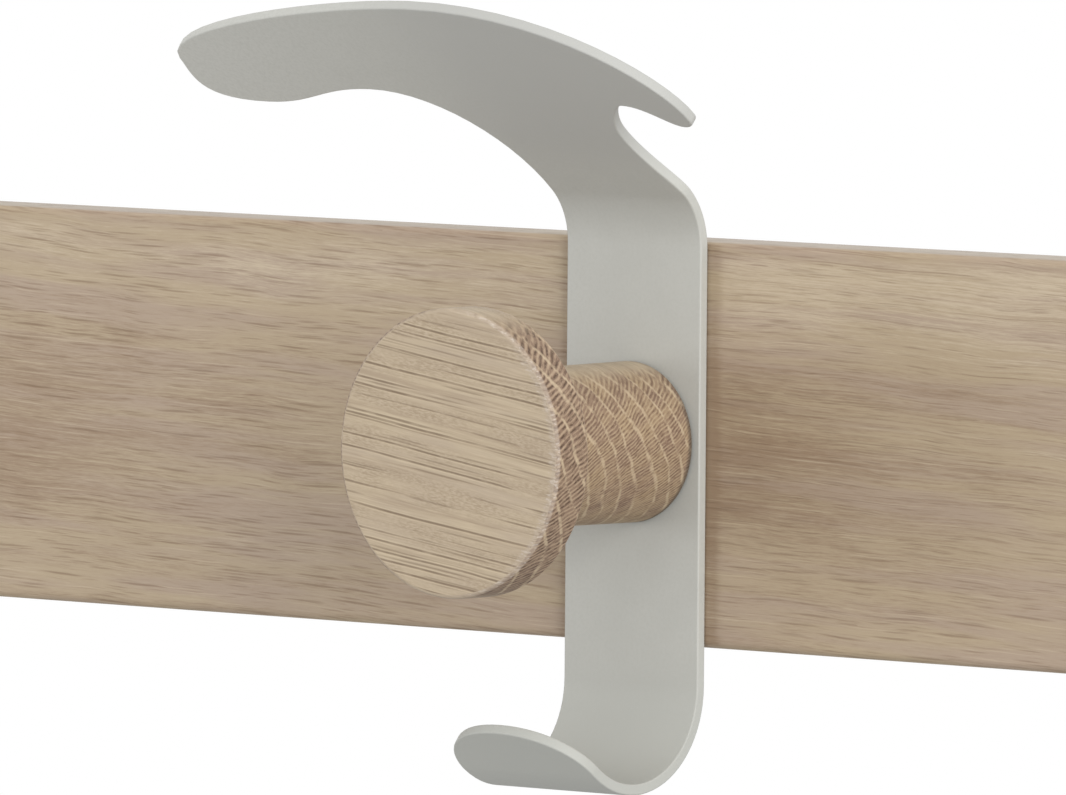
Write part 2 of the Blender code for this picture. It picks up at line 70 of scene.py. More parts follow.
def skin(node, finish):
    """Add a welded, smooth copy of a CAD node, which rides on the body and replaces the node."""
    form = bmesh.new()
    form.from_mesh(nodes[node].data)
    bmesh.ops.remove_doubles(form, verts=form.verts, dist=WELD)
    bmesh.ops.dissolve_limit(form, angle_limit=FLAT_ANGLE, verts=form.verts, edges=form.edges)
    mesh = bpy.data.meshes.new(f"{node}_skin")
    form.to_mesh(mesh)
    form.free()
    mesh.shade_smooth()
    mesh.set_sharp_from_angle(angle=CREASE_ANGLE)
    mesh.materials.append(finish)
    piece = bpy.data.objects.new(f"{node}_skin", mesh)
    bpy.context.scene.collection.objects.link(piece)
    shading = piece.modifiers.new("even shading", "WEIGHTED_NORMAL")
    shading.keep_sharp = True
    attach(piece, BODY)
    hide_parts(node)
    print(f"{piece.name}: {len(mesh.vertices)} corners, {len(mesh.polygons)} faces")


# %% [markdown]
# ## Writing a material as arithmetic
# A procedural finish is a chain of small sums on the place of each point. Wiring those by hand in
# the node editor is slow to read and slow to change, so small classes do the wiring. A Field wraps
# one output socket, and adding or multiplying Fields adds the Math nodes. A Wiring owns one node
# tree, and has a single method that adds any other kind of node. A Finish is the Wiring of one
# material.

# %% Fields, wirings and finishes
class Field:
    """A number, vector or colour that varies over a surface."""

    def __init__(self, owner, socket):
        self.owner = owner
        self.socket = socket

    def calculate(self, operation, *values):
        return self.owner.node("ShaderNodeMath", {"operation": operation}, dict(enumerate(values)))

    def __add__(self, other):
        return self.calculate("ADD", self, other)

    __radd__ = __add__

    def __mul__(self, other):
        return self.calculate("MULTIPLY", self, other)

    __rmul__ = __mul__

    def __sub__(self, other):
        return self.calculate("SUBTRACT", self, other)

    def __rsub__(self, other):
        return self.calculate("SUBTRACT", other, self)

    def __truediv__(self, other):
        return self.calculate("DIVIDE", self, other)

    def __rtruediv__(self, other):
        return self.calculate("DIVIDE", other, self)

    def __abs__(self):
        return self.calculate("ABSOLUTE", self)

    def beside(self, output):
        """Another output of the node that this one comes from."""
        return Field(self.owner, self.socket.node.outputs[output])


class Wiring:
    """A node tree, and the one method that adds nodes to it."""

    def __init__(self, tree):
        self.tree = tree

    def node(self, kind, settings=None, sockets=None, output=0):
        """Add a node, set it up, feed its sockets, and return one of its outputs."""
        made = self.tree.nodes.new(kind)
        for name, value in (settings or {}).items():
            setattr(made, name, value)
        for name, value in (sockets or {}).items():
            self.feed(made.inputs[name], value)
        return Field(self, made.outputs[output])

    def feed(self, socket, value):
        """Link a Field to a socket, or set the socket itself to a plain value."""
        if isinstance(value, Field):
            self.tree.links.new(value.socket, socket)
        else:
            socket.default_value = value


class Finish(Wiring):
    """The nodes of one material, which end in a Principled shader."""

    def __init__(self, name):
        self.material = bpy.data.materials.new(name)
        self.material.use_nodes = True
        super().__init__(self.material.node_tree)
        self.shader = self.tree.nodes["Principled BSDF"]

    def surface(self, **values):
        """Feed the Principled shader: an underscore in a name stands for a space."""
        for name, value in values.items():
            self.feed(self.shader.inputs[name.replace("_", " ")], value)
        print(f"{self.material.name}: {len(self.tree.nodes)} nodes")


# %% [markdown]
# ## A few shared words for finishes
# Colours are easiest to read off a picture as 0 to 255, while a shader wants linear light, so one
# helper converts them. The others measure places in millimetres, turn a raw pattern into a soft
# mask, mix colours by a mask and make a pattern into relief.

# %% Helpers for colours and places
MM = 0.001


def colour(red, green, blue):
    """A picture's colour, 0 to 255, as linear light."""
    shares = [value / 255 for value in (red, green, blue)]
    linear = [s / 12.92 if s <= 0.04045 else ((s + 0.055) / 1.055) ** 2.4 for s in shares]
    return (*linear, 1)


def combine(operation, spot, other, output="Vector"):
    """Vector Math on a place and another vector."""
    sockets = {0: spot, 1: other}
    return spot.owner.node("ShaderNodeVectorMath", {"operation": operation}, sockets, output)


def enlarged(spot, factor):
    sockets = {0: spot, "Scale": factor}
    return spot.owner.node("ShaderNodeVectorMath", {"operation": "SCALE"}, sockets)


def away(spot):
    """How far a place lies from zero."""
    return spot.owner.node("ShaderNodeVectorMath", {"operation": "LENGTH"}, {0: spot}, "Value")


def along(spot, direction):
    """How far a place lies along a direction."""
    return combine("DOT_PRODUCT", spot, direction, "Value")


def place(finish, centre=(0, 0, 0)):
    """Each point's place in millimetres, counted from a centre given in metres."""
    spot = finish.node("ShaderNodeTexCoord", output="Object")
    return enlarged(combine("SUBTRACT", spot, centre), 1 / MM)


def vector(x, y, z):
    """Three numbers as one vector; at least one of them is a Field."""
    owner = next(value.owner for value in (x, y, z) if isinstance(value, Field))
    return owner.node("ShaderNodeCombineXYZ", sockets={"X": x, "Y": y, "Z": z})


print("a picture's middle grey is this share of white's light:", round(colour(128, 128, 128)[0], 3))


# %% Helpers for patterns, masks and relief
def noise(spot, detail=2.0, roughness=0.5):
    """Soft random clouds about 0.5, with a cell of about one unit of the place."""
    sockets = {"Vector": spot, "Scale": 1.0, "Detail": detail, "Roughness": roughness}
    return spot.owner.node("ShaderNodeTexNoise", sockets=sockets)


def step(value, low, high):
    """0 below low, 1 above high and a soft S between; low may be the larger of the two."""
    settings = {"interpolation_type": "SMOOTHSTEP"}
    sockets = {"Value": value, "From Min": low, "From Max": high}
    return value.owner.node("ShaderNodeMapRange", settings, sockets)


def blend(share, first, second):
    """A colour that goes from first to second as share goes from 0 to 1."""
    sockets = {0: share, 6: first, 7: second}
    return share.owner.node("ShaderNodeMix", {"data_type": "RGBA"}, sockets, 2)


def larger(first, second):
    return first.calculate("MAXIMUM", first, second)


def bump(relief, strength, depth):
    """A normal that makes the surface look raised where relief is high, by a depth in mm."""
    sockets = {"Strength": strength, "Distance": depth * MM, "Height": relief}
    return relief.owner.node("ShaderNodeBump", sockets=sockets)


# %% [markdown]
# ## Oak
# Oak is a bundle of long tubes. Its pores run with the grain, so a side face shows them as dark
# dashes and the end shows them as dots. Rays cross the rings like spokes: pale lines on the end,
# dull speckled patches on a side face that almost runs with them. A picture of one face could not
# wrap round a turned knob, so the oak here is a solid pattern: three grain directions give each
# point its place along the fibres, across the rings and along the rings.

# %% The grain's own directions
class Grain:
    """Where a point lies in the wood, in millimetres: along the fibres, across and beside them."""

    def __init__(self, finish, centre, fibre, outward):
        fibre = Vector(fibre).normalized()
        outward = Vector(outward)
        outward = (outward - fibre * outward.dot(fibre)).normalized()
        spot = place(finish, centre)
        self.finish = finish
        self.fibre = along(spot, fibre)
        self.across = along(spot, outward)
        self.beside = along(spot, fibre.cross(outward))
        self.normal = finish.node("ShaderNodeNewGeometry", output="Normal")
        self.end = step(abs(along(self.normal, fibre)), 0.12, 0.50)

    def wander(self, length, depth, amount):
        """Let the grain drift from side to side, by about this amount over this length."""
        drift = noise(self.stretched(length, depth, depth, shift=9.0))
        self.across = self.across + (drift - 0.5) * amount

    def stretched(self, fibre, across, beside, shift=0.0):
        """The place counted in cells of these sizes, for a pattern drawn out along the grain.

        A shift moves along the fibres, so that no two patterns repeat each other.
        """
        return vector(self.fibre / fibre + shift, self.across / across, self.beside / beside)

    def slots(self, cell, half, share, shift=0.0):
        """Tapered slots in the wood: each cell may hold one, of these half sizes, some darker."""
        spot = self.stretched(*cell, shift)
        sockets = {"Vector": spot, "Scale": 1.0, "Randomness": 0.8}
        node = self.finish.node
        centre = node("ShaderNodeTexVoronoi", {"feature": "F1"}, sockets, "Position")
        chance = node("ShaderNodeTexWhiteNoise", {"noise_dimensions": "3D"}, {"Vector": centre})
        cells_per_slot = [size / part for size, part in zip(cell, half)]
        offset = combine("MULTIPLY", combine("SUBTRACT", spot, centre), cells_per_slot)
        return step(away(offset), 1.0, 0.3) * step(chance, 1 - share, 1.4 - share)

    def lines(self, spacing, half, length, share, shift=0.0):
        """Lines along the fibres, one to each spacing across them, that taper in and out."""
        settings = {"voronoi_dimensions": "1D", "feature": "F1"}
        sockets = {"W": self.across / spacing + shift, "Scale": 1.0, "Randomness": 0.85}
        distance = self.finish.node("ShaderNodeTexVoronoi", settings, sockets, "Distance")
        line = distance.beside("W")
        presence = noise(vector(self.fibre / length, line * 5.3, self.beside / length), 0)
        strength = step(presence, 0.66 - 0.36 * share, 0.92 - 0.36 * share)
        return step(distance * spacing / (strength * 0.6 + 0.4), half, half * 0.3) * strength


# %% [markdown]
# ## The rail: how its grain lies
# The rail is a long planed board, sawn along the trunk, so its grain runs from end to end and leans
# a little down to the right. Straight grain would look printed, so the measure across the grain
# wanders twice: in long, wide waves and in short, small ones. Every pattern that follows bends
# with it, as the fibres of a real board all bend together round a knot.

# %% Measure the rail and lay its grain
RAIL_LOW, RAIL_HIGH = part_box("rail_board")
RAIL_HEIGHT = (RAIL_HIGH.z - RAIL_LOW.z) / MM
RAIL_GRAIN_LEAN = math.radians(2.3)
print("rail height in mm:", round(RAIL_HEIGHT, 2))


def rail_grain(finish):
    lean = (math.cos(RAIL_GRAIN_LEAN), 0, -math.sin(RAIL_GRAIN_LEAN))
    grain = Grain(finish, (0, 0, RAIL_LOW.z), lean, (0, 0, 1))
    grain.wander(length=60, depth=25, amount=4.0)
    grain.wander(length=14, depth=6, amount=0.5)
    return grain


# %% [markdown]
# ## The rail: bands and zones
# Under its pores a board has soft bands of tone. This one is paler towards its top edge, with two
# darker, warmer zones at mid-height. Its upper arris is darker, and so is a narrow band beside the
# steel strip, which shades it. The tone is one number, from dark to pale, that the colours are
# chosen by afterwards. Painting each zone as a colour of its own would be simpler, but sums of tone
# let zones overlap without a visible border.

# %% The rail's tone
TONE_BY_HEIGHT = (  # from and to, in mm above the lower edge, and the change
    (0.60 * RAIL_HEIGHT, 0.95 * RAIL_HEIGHT, 0.30),
    (0.35 * RAIL_HEIGHT, 0.05 * RAIL_HEIGHT, 0.08),
    (RAIL_HEIGHT - 4.5, RAIL_HEIGHT - 1.5, -0.24),
)
WARM_ZONES = ((-200.0, 46.0, 95.0), (24.0, 42.0, 62.0))  # to the right, up, half length, in mm
WARM_ZONE_CHANGE = -0.20
STRIP_HALF = 19.5
STRIP_SHADE_FROM, STRIP_SHADE_TO = STRIP_HALF + 5.0, STRIP_HALF + 1.5
STRIP_SHADE_CHANGE = -0.24
STRAIGHT_TO_RIGHT, STRAIGHT_UPWARD = (-10, 90), (10, 40)  # where straight grain sets in, in mm


def rail_tone(grain):
    """From 0, dark and warm, to 1, pale; and how straight the grain is, from 0 to 1."""
    corner = place(grain.finish, (0, 0, RAIL_LOW.z))
    right = along(corner, (1, 0, 0))
    height = along(corner, (0, 0, 1))
    bands = noise(grain.stretched(170, 6, 12), 3)
    clouds = noise(grain.stretched(38, 15, 25, shift=3.0), 2)
    tone = 0.45 + (bands - 0.5) * 0.50 + (clouds - 0.5) * 0.40
    for low, high, change in TONE_BY_HEIGHT:
        tone = tone + step(height, low, high) * change
    for zone_right, zone_height, reach in WARM_ZONES:
        offset = vector((right - zone_right) / reach, (height - zone_height) / (0.5 * reach), 0.0)
        tone = tone + step(away(offset), 1.0, 0.1) * WARM_ZONE_CHANGE
    front = step(along(grain.normal, (0, -1, 0)), 0.5, 0.9)
    beside_strip = step(abs(right), STRIP_SHADE_FROM, STRIP_SHADE_TO) * front
    straight = step(right, *STRAIGHT_TO_RIGHT) * step(height, *STRAIGHT_UPWARD)
    return tone + beside_strip * STRIP_SHADE_CHANGE, straight


# %% [markdown]
# ## The rail: end grain
# The sawn ends cut every tube across, so they show growth rings, crossed by pale rays, in darker
# wood, because end grain drinks more oil. A texture of concentric circles would be too even. Here
# the distance from a pith outside the board goes through a noise of one dimension, which gives
# rings of unequal width.

# %% The rail's ends
PITH = (60.0, 45.0)  # up from the rail's lower edge and out from the wall, in mm
RING_WIDTH = 1.3
RING_DARK, RING_PALE = colour(128, 103, 80), colour(162, 138, 112)
RAIL_RAY = colour(192, 172, 144)
RAIL_RAY_STRENGTH = 0.6


def rail_end_grain(grain):
    radius = away(vector(grain.across - PITH[0], grain.beside - PITH[1], 0.0))
    rings = noise(vector(radius / RING_WIDTH, grain.fibre / 200, 0.0), 2)
    pale_rays = grain.slots(cell=(80, 0.9, 9), half=(60, 0.1, 4), share=0.7, shift=1.7)
    body = blend(step(rings, 0.35, 0.65), RING_DARK, RING_PALE)
    return blend(pale_rays * RAIL_RAY_STRENGTH, body, RAIL_RAY)


# %% [markdown]
# ## The rail: the finish
# Near to, the board is a granular felt of fibres with dark pores in it: fine dashes up to 20 mm
# long on the left, which give way to straight threads and lines on the right. Each of these is a
# pattern of its own size, drawn out along the grain. One wood texture stretched over the board
# would be quicker, but its streaks would all have one length and width. The pores are cut into the
# surface a little, and are duller than the ridges that the plane left smooth. Faces that look up,
# on the top edge, get a painted highlight: a paler, greyer colour, as light from above falls there.

# %% Finish of the rail
RAIL_SHADE = colour(147, 125, 102)
RAIL_YELLOW, RAIL_PINK = colour(171, 153, 127), colour(166, 147, 128)
RAIL_PALE = colour(189, 173, 149)
RAIL_PORE = colour(116, 94, 74)
RAIL_THREAD = colour(202, 185, 160)
RAIL_TOP_HIGHLIGHT = colour(178, 172, 163)
RAIL_PORE_STRENGTH, RAIL_THREAD_STRENGTH = 0.46, 0.25
RAIL_TOP_HIGHLIGHT_STRENGTH, RAIL_END_STRENGTH = 0.5, 0.8
RAIL_ROUGHNESS, RAIL_SPECULAR = 0.56, 0.35


def rail_pores(grain, straight):
    """Dashes and flecks on the left, which give way to long lines where the grain is straight."""
    dashes = grain.slots(cell=(18, 1.25, 2.2), half=(9.5, 0.36, 1.1), share=1.0)
    flecks = grain.slots(cell=(11, 0.8, 1.5), half=(5.2, 0.25, 0.75), share=1.0, shift=7.3)
    long_lines = grain.lines(spacing=1.5, half=0.18, length=26, share=0.45, shift=2.1)
    short = larger(dashes * (1 - straight * 0.6), flecks * 0.7)
    return larger(short, long_lines * (0.2 + straight * 0.6))


def rail_oak():
    finish = Finish("rail_oak")
    grain = rail_grain(finish)
    tone, straight = rail_tone(grain)
    streaks = noise(grain.stretched(18, 0.55, 1.0, shift=6.0), 2, 0.65)
    threads = noise(grain.stretched(60, 0.40, 0.9, shift=2.0), 1)
    felt = noise(grain.stretched(3.4, 0.22, 0.45, shift=8.0), 2, 0.65)
    tone = tone + (streaks - 0.5) * (0.58 - straight * 0.18) + (felt - 0.5) * 0.62
    tone = tone + (threads - 0.5) * (0.2 + straight * 0.45) - (1 - straight) * 0.07

    hue = step(noise(grain.stretched(70, 5, 9, shift=5.0), 2), 0.35, 0.65)
    body = blend(step(tone, 0.0, 0.5), RAIL_SHADE, blend(hue, RAIL_YELLOW, RAIL_PINK))
    body = blend(step(tone, 0.5, 1.0), body, RAIL_PALE)
    dark = rail_pores(grain, straight)
    body = blend(dark * RAIL_PORE_STRENGTH, body, RAIL_PORE)
    pale_lines = grain.lines(spacing=1.9, half=0.20, length=18, share=0.6, shift=4.4)
    body = blend(pale_lines * RAIL_THREAD_STRENGTH, body, RAIL_THREAD)
    # painted highlight: faces that look up turn paler and greyer, as light from above falls on them
    upward = step(along(grain.normal, (0, 0, 1)), 0.80, 0.99)
    body = blend(upward * RAIL_TOP_HIGHLIGHT_STRENGTH, body, RAIL_TOP_HIGHLIGHT)
    body = blend(grain.end * RAIL_END_STRENGTH, body, rail_end_grain(grain))

    relief = streaks * 0.3 - dark * 0.9 + threads * 0.15
    roughness = RAIL_ROUGHNESS + dark * 0.2 - streaks * 0.08
    finish.surface(Base_Color=body, Roughness=roughness, Specular_IOR_Level=RAIL_SPECULAR,
                   Normal=bump(relief, strength=0.4, depth=0.1))
    return finish.material


skin("rail_board", rail_oak())

# %% [markdown]
# ## The knob: how its grain lies
# The knob is turned from one block with its grain lying across it, not along the stem. So the
# disc's face shows long straight pores, while its right rim and the stem's side show the end of
# the fibres. The rays are thin sheets that run with the fibres, 4 to 5 mm apart, and they divide
# the wood into bays. The rays are counted sideways to the fibres: the fraction of the count says
# how far the nearest one is, and the whole number says which bay a point is in. One solid pattern
# gives all of this where the knob's surface cuts it.

# %% Measure the knob and lay its grain
KNOB_LOW, KNOB_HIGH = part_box("turned_knob")
KNOB_MIDDLE = (KNOB_LOW + KNOB_HIGH) / 2
KNOB_FOOT = (0, KNOB_HIGH.y, KNOB_MIDDLE.z)
KNOB_RADIUS = (KNOB_HIGH.x - KNOB_LOW.x) / 2 / MM
KNOB_GRAIN_LEAN = math.radians(8.4)
PORE_DIRECTION = (0, 0.495, -0.869)
RAY_PITCH = 4.6
print("knob radius in mm:", round(KNOB_RADIUS, 2))


def knob_grain(finish):
    lean = (math.cos(KNOB_GRAIN_LEAN), 0, -math.sin(KNOB_GRAIN_LEAN))
    grain = Grain(finish, KNOB_FOOT, lean, PORE_DIRECTION)
    grain.wander(length=60, depth=14, amount=1.6)
    return grain


def rays(grain):
    """Millimetres to the nearest ray, a wavy sheet along the fibres, and the number of the bay."""
    wave = noise(grain.stretched(50, 14, 9, shift=1.0)) * 6.0
    wave = wave + noise(grain.stretched(30, 1.4, 30, shift=7.0), 1) * 0.6
    count = (grain.beside + wave) / RAY_PITCH
    return count.calculate("PINGPONG", count, 0.5) * RAY_PITCH, count.calculate("FLOOR", count)


# %% [markdown]
# ## The knob: its face
# The disc's face is cut along the fibres, and almost along the rays. Long dark pores cross all of
# it, each with a paler line beside it, and each is broken into lengths as the tool lifts a fibre
# here and there. Where a ray comes near the face it opens into a greyish, speckled band. Pores
# could be painted as plain stripes, but a real pore starts, swells and ends, so each line here
# has its own noise along its length.

# %% Long grain
FACE_YELLOW, FACE_GREY = colour(182, 165, 139), colour(174, 157, 135)
FACE_STREAK = colour(157, 138, 115)
FACE_FIBRE = colour(202, 185, 157)
FLECK_DARK, FLECK_PALE = colour(152, 133, 108), colour(180, 163, 140)
FACE_PORE = colour(114, 95, 75)
BESIDE_PORE = colour(204, 187, 159)
PORE_SPACING, PORE_LENGTH, PORE_SHARE = 2.0, 40, 0.90
PORE_HALF, PORE_HALF_WITH_SIDES = 0.30, 0.65
STREAK_STRENGTH, FIBRE_STRENGTH = 0.8, 0.3
PORE_STRENGTH, BESIDE_STRENGTH, FAINT_PORE_STRENGTH = 0.76, 0.35, 0.6


def knob_face(grain, ray, edge):
    """Long-grain surfaces: soft streaks, greyish ray bands and long dark pores."""
    streaks = noise(grain.stretched(45, 0.8, 1.6, shift=3.0), 2, 0.6)
    felt = noise(grain.stretched(7, 0.3, 0.6, shift=5.0), 1)
    hue = step(noise(grain.stretched(30, 4, 6, shift=8.0), 2), 0.35, 0.65)
    body = blend(hue, FACE_YELLOW, FACE_GREY)
    body = blend(step(streaks, 0.62, 0.25) * STREAK_STRENGTH, body, FACE_STREAK)
    body = blend(step(felt, 0.45, 0.75) * FIBRE_STRENGTH, body, FACE_FIBRE)
    speckles = noise(grain.stretched(1.2, 0.26, 0.5), 2)
    patchy = step(noise(grain.stretched(16, 5, 6, shift=6.0), 1), 0.36, 0.62)
    band = step(ray, 2.0, 0.5) * (0.25 + patchy * 0.5)
    body = blend(band, body, blend(step(speckles, 0.3, 0.7), FLECK_DARK, FLECK_PALE))

    dark = grain.lines(PORE_SPACING, PORE_HALF, PORE_LENGTH, PORE_SHARE)
    wide = grain.lines(PORE_SPACING, PORE_HALF_WITH_SIDES, PORE_LENGTH, PORE_SHARE)
    faint = grain.lines(spacing=1.4, half=0.24, length=17, share=0.7, shift=5.0)
    body = blend(step(wide - dark, 0.0, 0.8) * BESIDE_STRENGTH, body, BESIDE_PORE)
    broken = step(noise(grain.stretched(5, 0.7, 1.5, shift=2.0), 2), 0.30, 0.60)
    dark = larger(dark * (0.55 + broken * 0.45), faint * FAINT_PORE_STRENGTH) * (1 - edge)
    return blend(dark * PORE_STRENGTH, body, FACE_PORE), dark


# %% [markdown]
# ## The knob: its end grain
# Where the tool cut the fibres across, on the stem's side and on the disc's right rim, the rays
# are pale lines and the open pores between them are a fine hatching. Dots from a cell texture come
# out too round and too even for it. The hatching is therefore made of rows of short strokes, dark
# and pale by turns, and the number of the bay starts the rows afresh on the other side of a ray.
# The rim was turned the hardest way to the grain, so its strokes are coarser and darker.

# %% End grain
STEM_BROWN, STEM_YELLOW = colour(134, 111, 93), colour(155, 133, 106)
STEM_DARK, STEM_PALE = colour(104, 81, 65), colour(184, 164, 136)
RIM_BROWN = colour(127, 105, 88)
RIM_DARK, RIM_PALE = colour(80, 61, 48), colour(174, 152, 128)
END_GRIT = colour(184, 164, 137)
RAY_LINE = colour(194, 175, 147)
STROKE_PITCH, COARSER_ON_RIM = 0.75, 0.3
DARK_STROKE_STRENGTH, DARKER_ON_RIM = 0.72, 0.2
PALE_STROKE_STRENGTH, PALER_ON_RIM = 0.58, 0.1
RIM_STRENGTH, GRIT_STRENGTH, RAY_STRENGTH = 0.8, 0.35, 0.75


def strokes(grain, bay, pitch):
    """Short dark and pale strokes in rows, as open pores show on end grain, new in each bay."""
    drift = noise(vector(grain.fibre / 20, grain.across / 6, grain.beside / 5 + bay * 1.7), 1)
    count = grain.across / pitch + drift * 1.6 + bay * 0.37
    gap = count.calculate("PINGPONG", count, 0.5) * 2
    row = vector(grain.fibre / 9, grain.across / 0.6, grain.beside / 1.9 + bay * 3.1)
    presence = noise(row, 1)
    dark = step(gap, 0.70, 0.10) * step(presence, 0.38, 0.62)
    pale = step(gap, 0.35, 0.90) * step(presence, 0.66, 0.44)
    return dark, pale


def knob_end(grain, ray, bay, rim):
    """End grain: rows of strokes, cut up by pale rays, darker and coarser on the rim."""
    tint = noise(vector(grain.fibre / 20, grain.across / 5, bay * 2.3), 1)
    body = blend(step(tint, 0.3, 0.7), STEM_BROWN, STEM_YELLOW)
    body = blend(rim * RIM_STRENGTH, body, RIM_BROWN)
    dark, pale = strokes(grain, bay, STROKE_PITCH + rim * COARSER_ON_RIM)
    dark_strength = DARK_STROKE_STRENGTH + rim * DARKER_ON_RIM
    pale_strength = PALE_STROKE_STRENGTH + rim * PALER_ON_RIM
    body = blend(dark * dark_strength, body, blend(rim, STEM_DARK, RIM_DARK))
    body = blend(pale * pale_strength, body, blend(rim, STEM_PALE, RIM_PALE))
    grit = noise(grain.stretched(3, 0.35, 0.6), 1)
    body = blend(step(grit, 0.50, 0.80) * GRIT_STRENGTH, body, END_GRIT)
    broken = step(noise(grain.stretched(9, 2.0, 5, shift=4.0), 2), 0.36, 0.60)
    sheet = step(ray, 0.62, 0.15) * (0.2 + broken * 0.7)
    return blend(sheet * RAY_STRENGTH, body, RAY_LINE), dark, sheet


# %% [markdown]
# ## The knob: the finish
# The surface's own direction decides which grain shows: the normal's part along the fibres is high
# on end grain. Two places need more than that. The arris between face and rim is sanded paler and
# carries a painted highlight, strongest on the right; there, where fibres end at it, it is frayed
# into light and dark specks. And the stem's foot is darker, most of all below, where the knob shades
# its own joint with the hook: the soft light alone leaves too little of that shade.

# %% Finish of the knob
EDGE_SANDED_AND_LIT = colour(176, 161, 146)
EDGE_PALE, EDGE_DARK = colour(210, 200, 188), colour(128, 109, 92)
FOOT_SHADE = colour(72, 62, 54)
EDGE_SANDED_AND_LIT_STRENGTH, SPECK_STRENGTH = 0.5, 0.5
RIM_FROM, RIM_TO = 0.72 * KNOB_RADIUS, 0.85 * KNOB_RADIUS
FRAY_FROM, FRAY_TO = KNOB_RADIUS - 2.6, KNOB_RADIUS - 1.4
FRAY_DEPTH = 3.0
FOOT_FROM, FOOT_TO = 1.9, 0.8
UNDER_DIRECTION, UNDER_FROM, UNDER_TO = (0.6, 0, -0.8), -6, 10
KNOB_ROUGHNESS, KNOB_SPECULAR = 0.52, 0.4


def knob_edge(grain, spot, radius, facing, arris):
    """How much a point belongs to the sanded arris with its painted highlight, and how much it is
    frayed pale or dark.
    """
    rightness = along(spot, (1, 0, 0)) / radius
    right = step(rightness, -0.2, 0.5)
    ends = step(abs(rightness), 0.45, 0.80) * right
    frayed = noise(grain.stretched(2.0, 0.5, 0.9, shift=4.0), 2, 0.7)
    border = step(radius + (frayed - 0.5) * FRAY_DEPTH, FRAY_FROM, FRAY_TO)
    border = border * ends * step(facing, 0.6, 0.9)
    # the arris is partly sanded wood and partly a painted highlight, stronger on the right, where
    # the lamp falls
    edge = larger(arris * (0.4 + right * 0.6), border * 0.8)
    specks = edge * right * SPECK_STRENGTH
    return edge, specks * step(frayed, 0.52, 0.68), specks * step(frayed, 0.46, 0.32)


def knob_oak():
    finish = Finish("knob_oak")
    grain = knob_grain(finish)
    ray, bay = rays(grain)
    spot = place(finish, KNOB_FOOT)
    radius = away(combine("MULTIPLY", spot, (1, 0, 1)))
    rim = step(radius, RIM_FROM, RIM_TO)
    facing = abs(along(grain.normal, (0, 1, 0)))
    arris = rim * step(facing, 0.10, 0.55) * step(facing, 1.0, 0.97)
    face, pores = knob_face(grain, ray, larger(arris, step(facing, 0.6, 0.2)))
    end, hatch, sheet = knob_end(grain, ray, bay, rim)
    body = blend(grain.end, face, end)

    edge, pale_specks, dark_specks = knob_edge(grain, spot, radius, facing, arris)
    # sanded arris, with a painted highlight on its rounding
    body = blend(edge * EDGE_SANDED_AND_LIT_STRENGTH, body, EDGE_SANDED_AND_LIT)
    body = blend(pale_specks, body, EDGE_PALE)
    body = blend(dark_specks, body, EDGE_DARK)
    under = step(along(spot, UNDER_DIRECTION), UNDER_FROM, UNDER_TO)
    foot = step(along(spot, (0, -1, 0)), FOOT_FROM, FOOT_TO) * (0.25 + under * 0.45)
    body = blend(foot, body, FOOT_SHADE)

    relief = (sheet * 0.6 - hatch) * grain.end - pores * (1 - grain.end)
    roughness = KNOB_ROUGHNESS + grain.end * 0.12 + pores * 0.15
    finish.surface(Base_Color=body, Roughness=roughness, Specular_IOR_Level=KNOB_SPECULAR,
                   Normal=bump(relief, strength=0.6, depth=0.12))
    return finish.material


skin("turned_knob", knob_oak())

# %% [markdown]
# ## Powder-coated steel
# The hook's coat is a thick, even skin of baked powder, a warm light grey with almost no shine.
# Near to, it has a fine pebble texture and a very slight mottle. A plain colour would do from far
# off, but would look like plastic, so two small noises make the texture and one large one the
# mottle. Slow changes of tint do a little of the light's work: the coat is lighter towards the
# arm's free end, and greyer on the folded shoulder above the bend and down in the trough.

# %% Finish of the hook
COAT_DARK, COAT_LIGHT = colour(181, 181, 175), colour(183, 183, 177)
COAT_SHOULDER_SHADE = colour(174, 174, 170)
COAT_TROUGH_SHADE = colour(175, 176, 170)
COAT_ARM_LIGHT = colour(196, 196, 190)
COAT_GRIT, COAT_PEBBLE = colour(176, 176, 169), colour(191, 191, 185)
COAT_GRIT_STRENGTH, COAT_PEBBLE_STRENGTH = 0.45, 0.3
CLOUDS_PER_MM, GRITS_PER_MM, PEBBLES_PER_MM = 0.12, 1.3, 3.2
SHOULDER_UPWARD, SHOULDER_TO_RIGHT = (36, 50), (-50, -10)  # each tint sets in from and to, in mm
TROUGH_DOWNWARD = (-64, -84)
ARM_TO_LEFT = (10, -120)
COAT_ROUGHNESS = 0.52


def powder_coat():
    finish = Finish("powder_coat")
    spot = place(finish)
    right = along(spot, (1, 0, 0))
    height = along(spot, (0, 0, 1))
    clouds = noise(enlarged(spot, CLOUDS_PER_MM), 2)
    grit = noise(enlarged(spot, GRITS_PER_MM), 3, 0.6)
    pebbles = noise(enlarged(spot, PEBBLES_PER_MM), 2)
    # painted light and shade: darker on the shoulder and in the trough, lighter towards the arm's
    # free end
    shoulder = step(height, *SHOULDER_UPWARD) * step(right, *SHOULDER_TO_RIGHT)
    body = blend(step(clouds, 0.3, 0.7), COAT_DARK, COAT_LIGHT)
    body = blend(shoulder, body, COAT_SHOULDER_SHADE)
    body = blend(step(height, *TROUGH_DOWNWARD), body, COAT_TROUGH_SHADE)
    body = blend(step(right, *ARM_TO_LEFT), body, COAT_ARM_LIGHT)
    body = blend(step(grit, 0.35, 0.75) * COAT_GRIT_STRENGTH, body, COAT_GRIT)
    body = blend(step(pebbles, 0.6, 0.8) * COAT_PEBBLE_STRENGTH, body, COAT_PEBBLE)
    normal = bump(pebbles * 0.7 + grit * 0.6, strength=0.10, depth=0.05)
    finish.surface(Base_Color=body, Roughness=COAT_ROUGHNESS + grit * 0.12, Normal=normal)
    return finish.material


skin("coat_hook", powder_coat())

